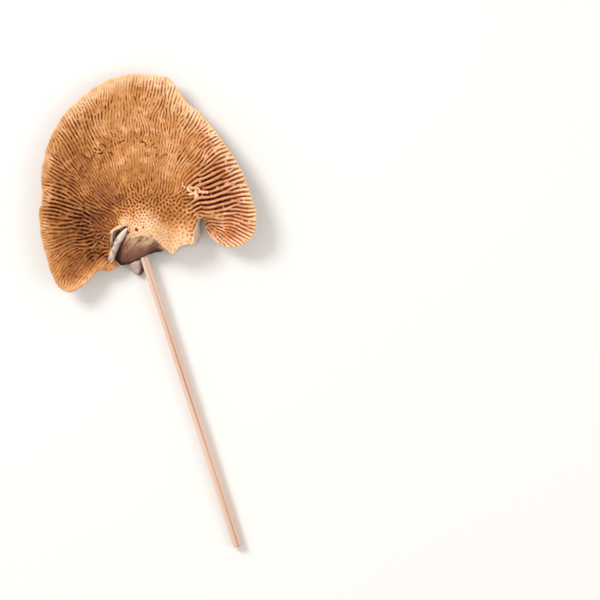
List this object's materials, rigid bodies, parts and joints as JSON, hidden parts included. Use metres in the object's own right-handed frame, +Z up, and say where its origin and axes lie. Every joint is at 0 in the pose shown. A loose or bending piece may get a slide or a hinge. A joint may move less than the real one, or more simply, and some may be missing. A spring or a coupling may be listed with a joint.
{
  "type": "dried mushroom cap",
  "caption": "Dried bracket-fungus cap with fanned gills and pores, a torn foot and a round wooden pick pushed into it, lying on its back.",
  "frame": {"origin": "under the middle of the bounding box of cap and pick, on the surface that they rest on", "axes": "+Y from the pick's free end towards the top of the cap, +X to the right across the cap seen with the gills towards the viewer, +Z up, the way the gills face"},
  "size_m": [0.1002, 0.219, 0.0165],
  "materials": {
    "dried_fungus": "dry, matte, corky; orange-tan gills, paler at the margin and foot, grey zoned skin on the back",
    "pale_wood": "bare pale birch dowel, unvarnished, fine straight grain"
  },
  "bodies": {
    "root": {"mushroom_cap": "dried_fungus", "wooden_pick": "pale_wood"}
  },
  "joints": []
}
